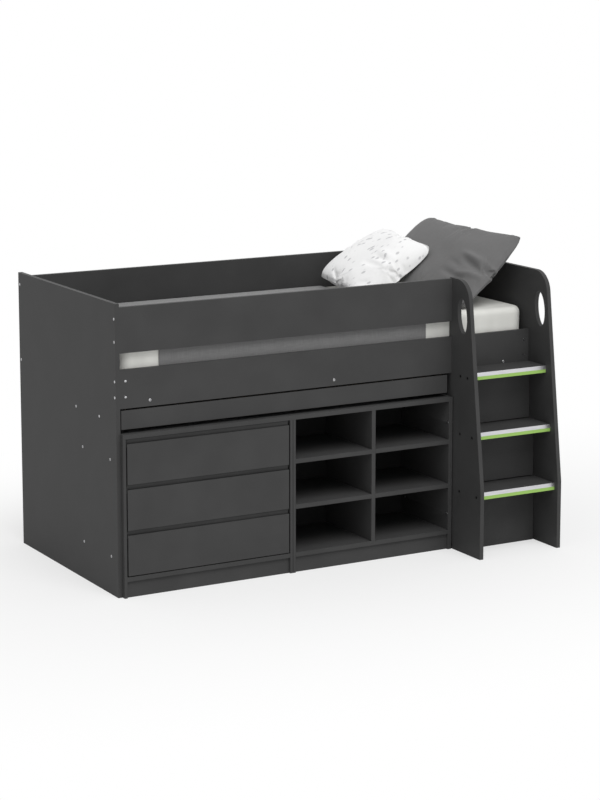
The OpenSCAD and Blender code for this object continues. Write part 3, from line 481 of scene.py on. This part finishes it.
def mattress_top(x, y):
    """Height of the mattress's upper face, which is a little crowned."""
    inset = min(mattress_half.x - abs(x - mattress_middle.x),
                mattress_half.y - abs(y - mattress_middle.y))
    share = (inset - MATTRESS_EDGE) / (mattress_half.y / 2 - MATTRESS_EDGE)
    return mattress_high.z - MATTRESS_CROWN * (1 - max(0.0, min(1.0, share)))


def past(value, limit):
    """How far a value is past a limit on either side of 0, with its sign."""
    return math.copysign(max(0.0, abs(value) - limit), value)


def mattress():
    """A foam mattress in a knitted cover: round corners and edges, a slightly crowned top
    with low hollows, and soft upright creases down its sides."""
    bm = bmesh.new()
    bmesh.ops.create_cube(bm, size=2)
    bmesh.ops.scale(bm, vec=mattress_half, verts=bm.verts)
    upright = [e for e in bm.edges if abs((e.verts[0].co - e.verts[1].co).z) > MM]
    bmesh.ops.bevel(bm, geom=upright, offset=MATTRESS_CORNER, segments=8, profile=0.5,
                    affect="EDGES", material=-1)
    rims = [e for e in bm.edges if abs(e.verts[0].co.z - e.verts[1].co.z) < MM
            and abs(e.link_faces[0].normal.z - e.link_faces[1].normal.z) > 0.5]
    bmesh.ops.bevel(bm, geom=rims, offset=MATTRESS_EDGE, segments=5, profile=0.5,
                    affect="EDGES", material=-1)
    for axis, count in enumerate(MATTRESS_SLICES):
        for k in range(1, count):
            at = AXES[axis] * mattress_half[axis] * (2 * k / count - 1)
            bmesh.ops.bisect_plane(bm, geom=bm.verts[:] + bm.edges[:] + bm.faces[:],
                                   plane_co=at, plane_no=AXES[axis])
    upright_z = mattress_half.z - MATTRESS_EDGE * 1.25
    turning = 2 * MATTRESS_CORNER
    for vert in bm.verts:
        at = vert.co
        out = Vector((past(at.x, mattress_half.x - turning),
                      past(at.y, mattress_half.y - turning), 0))
        inset = min(mattress_half.x - abs(at.x), mattress_half.y - abs(at.y))
        share = max(0.0, 1 - max(0.0, abs(at.z) - upright_z) / MATTRESS_EDGE)
        if share > 0 and (inset < SIDE_REACH or out.length > turning * 0.98):
            crease = abs(uneven(at.x + at.y, at.z * 0.25, CREASE_PITCH, 3.1))
            at -= out.normalized() * (SIDE_INSET + crease * CREASE_DEPTH) * share
        if at.z > 0:
            crowned = mattress_top(at.x + mattress_middle.x, at.y + mattress_middle.y)
            hollow = abs(uneven(at.x, at.y, HOLLOW_PITCH, 8.4)) * HOLLOW_DEPTH
            at.z += crowned - mattress_high.z - hollow
    bmesh.ops.translate(bm, vec=mattress_middle, verts=bm.verts)
    return new_piece("mattress_cover", bm, "mattress_ticking")


mattress_piece = mattress()
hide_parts("mattress")


# Bedding: the blanket

BLANKET_THICK = 3 * MM
# How far its lower side lies over the mattress's top
BLANKET_CLEAR = 0.3 * MM
# How many faces it has along and across
BLANKET_FACES = (260, 150)
# Its low folds: how high they are, and the pitches of the wide and the small ones in millimetres
BLANKET_FOLD = 2.4 * MM
FOLD_PITCH = 130
SMALL_FOLD_PITCH = 34
# Its hems: how wide and how much thicker they are, and the groove that their stitching makes
HEM = 22 * MM
HEM_RAISE = 0.6 * MM
STITCH_DEPTH = 0.8 * MM
STITCH_WIDTH = 2.5 * MM
blanket_low, blanket_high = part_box("blanket")


def blanket():
    """A blanket laid over the mattress, its sides tucked down between mattress and frame.
    Its two ends are turned under and stitched."""
    half = (blanket_high.y - blanket_low.y) / 2 - BLANKET_THICK
    middle_y = (blanket_high.y + blanket_low.y) / 2
    top = mattress_high.z + BLANKET_CLEAR
    straight = top - blanket_low.z - MATTRESS_EDGE
    bend = math.pi / 2 * MATTRESS_EDGE
    flat_half = half - MATTRESS_EDGE
    reach = flat_half + bend + straight
    length = blanket_high.x - blanket_low.x

    def lie(s):
        """Y and Z over the mattress at a distance s across the cloth from its middle."""
        side = -1 if s < 0 else 1
        s = abs(s)
        if s < flat_half:
            return side * s, top
        if s < flat_half + bend:
            a = (s - flat_half) / MATTRESS_EDGE
            return (side * (flat_half + MATTRESS_EDGE * math.sin(a)),
                    top - MATTRESS_EDGE * (1 - math.cos(a)))
        return side * half, top - MATTRESS_EDGE - (s - flat_half - bend)

    bm = bmesh.new()
    cut = bm.loops.layers.uv.new("cut")
    bmesh.ops.create_grid(bm, x_segments=BLANKET_FACES[0], y_segments=BLANKET_FACES[1],
                          size=0.5, calc_uvs=True)
    for vert in bm.verts:
        along = (vert.co.x + 0.5) * length
        s = vert.co.y * 2 * reach
        y, z = lie(s)
        on_top = max(0.0, 1 - abs(s) / flat_half)
        folds = 0.5 + 0.5 * uneven(along + 0.3 * s, s * 0.22, FOLD_PITCH, 1.7)
        small = 0.5 + 0.5 * uneven(along, s * 0.5, SMALL_FOLD_PITCH, 5.2)
        lift = (0.8 * folds + 0.2 * small) * BLANKET_FOLD * min(1.0, 4 * on_top)
        from_end = min(along, length - along)
        if from_end < HEM:
            lift += HEM_RAISE * min(1.0, 8 * on_top)
        lift -= min(lift, STITCH_DEPTH * math.exp(-((from_end - HEM) / STITCH_WIDTH) ** 2))
        vert.co = Vector((blanket_low.x + along, middle_y + y, z + lift))
    for face in bm.faces:
        for loop in face.loops:
            at = loop[cut].uv
            loop[cut].uv = (at.x * length, at.y * 2 * reach)
    bmesh.ops.recalc_face_normals(bm, faces=bm.faces)
    made = new_piece("blanket_cloth", bm, "blanket_fabric")
    wall = made.modifiers.new("thickness", "SOLIDIFY")
    wall.thickness = BLANKET_THICK
    wall.offset = 1
    return made, (length, 2 * reach)


blanket_piece, blanket_cut = blanket()
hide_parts("blanket")


# Bedding: the pillows

# The share by which a pillow's sides draw in between its corners
PINCH = 0.06
# Its half thickness before it is stuffed, as a share of its half width
SEWN_FULLNESS = 0.3
# The size of its faces
CELL = 8 * MM
# Its thickness at the seam, how far in it stays as thin, and the slopes by which it thickens
# from its rim above and from its two ends below
SEAM_THICK = 0.8 * MM
SEAM_REACH = 1.5 * CELL
UPPER_WEDGE = 1.0
LOWER_WEDGE = 0.45
# How far along the way from a corner to the middle a blunt corner reaches
CORNER_REACH = 0.2
# How far it lies over the bed and over the other pillow, and how far past the blanket's end
# it still lies as high as on the blanket
LIE_GAP = 0.8 * MM
LEAN_GAP = 2 * MM
BLANKET_STEP = 25 * MM
STUFFING_PRESSURE = 5.0
STUFFING_FRAMES = 20


class Pillow:
    """A pillow's size, fullness over and under its seam and place, as its solid in the frame
    has them, and its creases, blunt corners and bent seam. Its sides are at -1 and 1 up its
    slope and at -1 and 1 along it, from near to far. Lengths are in millimetres, angles in
    degrees, and its middle is in metres."""

    def __init__(self, node, size, over, under, angles, middle, creases, blunt, rise, sag):
        self.node = node
        self.half = Vector((size[0] / 2, size[1] / 2)) * MM
        self.over = over * MM
        self.under = under * MM
        x, y, z = (math.radians(a) for a in angles)
        self.turn = (Matrix.Rotation(z, 3, "Z") @ Matrix.Rotation(y, 3, "Y")
                     @ Matrix.Rotation(x, 3, "X"))
        self.middle = Vector(middle)
        self.creases = creases
        self.blunt = blunt
        self.rise = rise * MM
        self.sag = sag * MM


# The pillows are placed from the right end panel's inner face, the bed's front and the
# mattress's top
BOARD = 18 * MM
panel_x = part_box("right_end_panel")[1].x - BOARD
bed_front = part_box("front_side_rail")[0].y
bed_top = mattress_high.z

# A crease runs from one place to another on a pillow and has a depth and a width. A minus
# depth is a ridge. A blunt corner stands back by its length. The seam stands up by the rise
# at the pillow's far side and hangs down by the sag at its near one.
GREY_CREASES = [
    ((-0.12, -0.86), (0.08, -0.40), 16, 14), ((0.10, -0.78), (0.22, -0.30), -13, 13),
    ((-0.40, -0.66), (-0.30, -0.18), 13, 12), ((-0.20, -0.90), (-0.34, -0.40), -11, 13),
    ((-0.14, -0.50), (-0.02, -0.18), 8, 12), ((0.00, -0.10), (0.42, 0.34), 5, 34),
    ((0.72, -0.50), (0.66, 0.10), 4, 40)]
WHITE_CREASES = [
    ((-0.02, -0.36), (0.12, -0.84), 11, 12), ((0.16, -0.24), (0.20, -0.74), -7, 15),
    ((-0.24, -0.26), (-0.12, -0.76), 8, 15), ((-0.74, 0.52), (-0.92, 0.12), 6, 9),
    ((-0.72, -0.66), (-0.50, -0.82), 5, 10)]
GREY = Pillow(
    "grey_pillow", size=(420, 700), over=45, under=143, angles=(0, -42.77, 1),
    middle=(panel_x - 173.85 * MM, bed_front + 383 * MM, bed_top + 154.11 * MM),
    creases=GREY_CREASES, blunt={(1, 1): 10, (1, -1): 6, (-1, 1): 12, (-1, -1): 32},
    rise=48, sag=25)
WHITE = Pillow(
    "white_pillow", size=(400, 400), over=50, under=95, angles=(3, -29.97, -7.4),
    middle=(panel_x - 371.43 * MM, bed_front + 653 * MM, bed_top + 132.07 * MM),
    creases=WHITE_CREASES, blunt={(1, 1): 14, (1, -1): 5, (-1, 1): 8, (-1, -1): 16},
    rise=48, sag=58)


def drawn_in(u):
    """The share of a pillow's size that is left where its sides draw in."""
    return 1 - PINCH * (1 - u * u)


def swell(u, v):
    """The share of its fullness that a pillow has at a place across it."""
    return max(0.0, (1 - u * u) * (1 - v * v)) ** 0.4


def least(a, b):
    """The smaller of two sizes, with a soft turn where they meet."""
    return 0.0 if a <= 0 or b <= 0 else (a ** -4 + b ** -4) ** -0.25


def bent(shape, u, v):
    """How far a pillow's seam stands up at its far side and hangs down at its near one."""
    amount = shape.rise if v > 0 else -shape.sag
    return amount * v * v * math.sqrt(max(0.0, 1 - u * u))


def sewn_sheets(shape):
    """Two sheets of cloth, sewn together round their rim and a little apart inside it. Each
    corner keeps its place across the sheets, from -1 to 1, and its side."""
    bm = bmesh.new()
    cut = bm.loops.layers.uv.new("cut")
    across = bm.verts.layers.float_vector.new("across")
    counts = [2 * round(side / CELL) for side in shape.half]
    bmesh.ops.create_grid(bm, x_segments=counts[0], y_segments=counts[1], size=1, calc_uvs=True)
    for face in bm.faces:
        for loop in face.loops:
            at = loop[cut].uv
            loop[cut].uv = (at.x * 2 * shape.half.x, at.y * 2 * shape.half.y)
    lower = bmesh.ops.duplicate(bm, geom=bm.faces[:] + bm.verts[:] + bm.edges[:])["geom"]
    bmesh.ops.reverse_faces(bm, faces=[g for g in lower if isinstance(g, bmesh.types.BMFace)])
    below = {g for g in lower if isinstance(g, bmesh.types.BMVert)}
    for vert in bm.verts:
        u, v = vert.co.x, vert.co.y
        side = -1 if vert in below else 1
        vert[across] = (u, v, side)
        vert.co = Vector((u * shape.half.x * drawn_in(v), v * shape.half.y * drawn_in(u),
                          side * SEWN_FULLNESS * shape.half.x * swell(u, v)))
    bmesh.ops.remove_doubles(bm, verts=bm.verts, dist=0.01 * MM)
    return bm


def stuffed(made):
    """Blow a sewn pillow up by cloth simulation, so that its seams pucker, and keep the result."""
    cloth = made.modifiers.new("stuffing", "CLOTH")
    cloth.settings.quality = 5
    cloth.settings.mass = 0.2
    cloth.settings.tension_stiffness = 12
    cloth.settings.compression_stiffness = 12
    cloth.settings.shear_stiffness = 4
    cloth.settings.bending_stiffness = 0.15
    cloth.settings.use_pressure = True
    cloth.settings.uniform_pressure_force = STUFFING_PRESSURE
    cloth.settings.shrink_min = -0.03
    cloth.settings.effector_weights.gravity = 0
    cloth.point_cache.frame_start = 1
    cloth.point_cache.frame_end = STUFFING_FRAMES
    scene = bpy.context.scene
    for step in range(1, STUFFING_FRAMES + 1):
        scene.frame_set(step)
    blown = made.evaluated_get(bpy.context.evaluated_depsgraph_get())
    places = [vert.co.copy() for vert in blown.data.vertices]
    made.modifiers.remove(cloth)
    scene.frame_set(1)
    for vert, at in zip(made.data.vertices, places):
        vert.co = at


def crease_depth(shape, at):
    """How far a place on a pillow's upper side is drawn in by its creases, which fade out
    where they end."""
    depth = 0.0
    for start, end, deep, wide in shape.creases:
        a = Vector((start[0] * shape.half.x, start[1] * shape.half.y))
        b = Vector((end[0] * shape.half.x, end[1] * shape.half.y))
        p = Vector((at.x, at.y)) - a
        run = b - a
        share = max(0.0, min(1.0, p.dot(run) / run.length_squared))
        off = (p - run * share).length / (wide * MM)
        depth += deep * MM * math.exp(-off * off) * math.sin(math.pi * min(1, 0.2 + 0.8 * share))
    return depth


def on_bed(at):
    """A pillow's point, pressed flat where it lies on the mattress or the blanket."""
    on_blanket = at.x < blanket_high.x + BLANKET_STEP
    under = blanket_high.z if on_blanket else mattress_top(at.x, at.y)
    at.z = max(at.z, under + LIE_GAP)
    return at


def on_grey(at):
    """A point pressed out of the grey pillow, to lie on its finished upper side. Past its
    seam the limit falls away as fast as it goes out."""
    local = GREY.turn.transposed() @ (at - GREY.middle)
    above = GREY.middle + GREY.turn @ Vector((local.x, local.y, 1))
    hit = grey_side.ray_cast(above, GREY.turn @ Vector((0, 0, -1)))[0]
    if hit:
        limit = (GREY.turn.transposed() @ (hit - GREY.middle)).z
    else:
        limit = -max(0.0, abs(local.x) - GREY.half.x, abs(local.y) - GREY.half.y)
    local.z = max(local.z, limit + LEAN_GAP)
    return GREY.middle + GREY.turn @ local


def pillow(shape, name, slot, presses):
    """A stuffed pillow, sewn of two sheets along a knife edge: blown up, brought back to the
    rim and the fullness of its solid, creased, and pressed flat where it lies on something."""
    made = new_piece(name, sewn_sheets(shape), slot)
    stuffed(made)
    mesh = made.data
    places = [tuple(data.vector) for data in mesh.attributes["across"].data]
    rims = ({}, {})
    for vert, (u, v, side) in zip(mesh.vertices, places):
        if abs(u) == 1:
            rims[0].setdefault(v, []).append(abs(vert.co.x))
        if abs(v) == 1:
            rims[1].setdefault(u, []).append(abs(vert.co.y))
    wide = [{key: sum(found) / len(found) for key, found in rim.items()} for rim in rims]
    high = max(vert.co.z for vert in mesh.vertices)
    deep = -min(vert.co.z for vert in mesh.vertices)
    for vert, (u, v, side) in zip(mesh.vertices, places):
        x = vert.co.x * shape.half.x * drawn_in(v) / wide[0][v]
        y = vert.co.y * shape.half.y * drawn_in(u) / wide[1][u]
        to_end = (1 - abs(v)) * shape.half.y
        to_rim = min(to_end, (1 - abs(u)) * shape.half.x)
        if vert.co.z > 0:
            z = least(vert.co.z * shape.over / high, SEAM_THICK + UPPER_WEDGE * to_rim)
        else:
            z = -least(-vert.co.z * shape.under / deep, SEAM_THICK + LOWER_WEDGE * to_end)
        for (to_u, to_v), amount in shape.blunt.items():
            near = max(0.0, 1 - (1 - (u * to_u + v * to_v) / 2) / CORNER_REACH)
            x -= to_u * amount * MM * near * near
            y -= to_v * amount * MM * near * near
        if to_rim < SEAM_REACH:
            z = max(-2 * SEAM_THICK, min(2 * SEAM_THICK, z))
        elif side > 0:
            z -= crease_depth(shape, Vector((x, y)))
        at = shape.middle + shape.turn @ Vector((x, y, z + bent(shape, u, v)))
        for press in presses:
            at = press(at)
        vert.co = at
    mesh.attributes.remove(mesh.attributes["across"])
    smooth = made.modifiers.new("smooth", "SUBSURF")
    smooth.levels = 1
    smooth.render_levels = 1
    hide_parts(shape.node)
    return made


grey_piece = pillow(GREY, "grey_pillow_cover", "grey_cotton", [on_bed])
grey_side = bvhtree.BVHTree.FromPolygons(
    [vert.co for vert in grey_piece.data.vertices],
    [face.vertices for face in grey_piece.data.polygons])
white_piece = pillow(WHITE, "white_pillow_cover", "white_cotton", [on_grey, on_bed])


# Floor, camera and lights

FLOOR_HALF = 40
# The share of plain white that the camera sees in the floor under the bed, and between which
# distances from the bed's middle, in metres, it grows to all
FLOOR_GLOW = 0.55
GLOW_START = 0.5
GLOW_END = 2.2
WORLD_LIGHT = 0.60


def studio_floor():
    """A white floor that keeps the bed's shadow. The camera sees part of it as plain white,
    and all of it far from the bed."""
    made, tree = new_tree("white_studio_floor")
    path = add(tree, "LightPath")
    place = add(tree, "TexCoord")["Object"]
    squeezed = add(tree, "Mapping", None, {"Vector": place, "Scale": (0.55, 1, 1)})[0]
    away = add(tree, "VectorMath", {"operation": "LENGTH"}, {0: squeezed})["Value"]
    glow = add(tree, "MapRange", {"interpolation_type": "SMOOTHSTEP"}, {
        "Value": away, "From Min": GLOW_START, "From Max": GLOW_END, "To Min": FLOOR_GLOW,
        "To Max": 1.0})[0]
    share = add(tree, "Math", {"operation": "MULTIPLY"}, {0: path["Is Camera Ray"], 1: glow})[0]
    shaded = add(tree, "BsdfDiffuse", None, {"Color": colour("#E8E8E8")})[0]
    plain = add(tree, "Emission", None, {"Strength": 1.0})[0]
    both = add(tree, "MixShader", None, {0: share, 1: shaded, 2: plain})[0]
    add(tree, "OutputMaterial", None, {"Surface": both})
    return made


def stage_plane(name, half):
    """A flat square on the floor, which isn't part of the bed."""
    bm = bmesh.new()
    bmesh.ops.create_grid(bm, x_segments=1, y_segments=1, size=half)
    mesh = bpy.data.meshes.new(name)
    bm.to_mesh(mesh)
    bm.free()
    mesh.materials.append(studio_floor())
    made = bpy.data.objects.new(name, mesh)
    bpy.context.scene.collection.objects.link(made)


def studio_world():
    """White to the camera and in reflections, and an even grey light on the bed."""
    world = bpy.data.worlds.new("studio")
    world.use_nodes = True
    tree = world.node_tree
    tree.nodes.clear()
    path = add(tree, "LightPath")
    direct = add(tree, "Math", {"operation": "MAXIMUM"}, {
        0: path["Is Camera Ray"], 1: path["Is Glossy Ray"]})[0]
    seen = add(tree, "Math", {"operation": "MAXIMUM"}, {
        0: direct, 1: path["Is Transmission Ray"]})[0]
    strength = add(tree, "MapRange", None, {"Value": seen, "To Min": WORLD_LIGHT, "To Max": 1.0})[0]
    shader = add(tree, "Background", None, {"Color": (1, 1, 1, 1), "Strength": strength})
    add(tree, "OutputWorld", None, {"Surface": shader[0]})
    bpy.context.scene.world = world


def sun(name, heading, height, strength, softness):
    """Light from far away, as from a large softbox. It comes from a heading, in degrees from
    the bed's front towards its left end, and a height above the floor."""
    data = bpy.data.lights.new(name, "SUN")
    data.energy = strength
    data.angle = math.radians(softness)
    made = bpy.data.objects.new(name, data)
    made.rotation_euler = (math.radians(90 - height), 0, math.radians(-heading))
    bpy.context.scene.collection.objects.link(made)


# The camera's place in metres, its angles in degrees from straight back and level, and its
# lens in millimetres
CAMERA_AT = (-4.679, -8.3834, 2.5944)
CAMERA_HEADING = -29.40
CAMERA_DROP = 9.609
CAMERA_LENS = 104.98
CAMERA_SHIFT = -0.1


def camera():
    """The photograph's camera. Upright lines stay parallel in the photograph, which would take
    a large shift. Most of that is a drop here, so that other views keep the bed in the frame."""
    data = bpy.data.cameras.new("camera")
    data.lens = CAMERA_LENS
    data.sensor_width = 36
    data.shift_y = CAMERA_SHIFT
    data.clip_end = 200
    made = bpy.data.objects.new("camera", data)
    made.location = CAMERA_AT
    made.rotation_euler = (math.radians(90 - CAMERA_DROP), 0, math.radians(CAMERA_HEADING))
    bpy.context.scene.collection.objects.link(made)
    bpy.context.scene.camera = made


stage_plane("studio_floor", FLOOR_HALF)
studio_world()
sun("softbox", heading=5, height=58, strength=1.75, softness=40)
camera()
bpy.context.scene.view_settings.view_transform = "Standard"
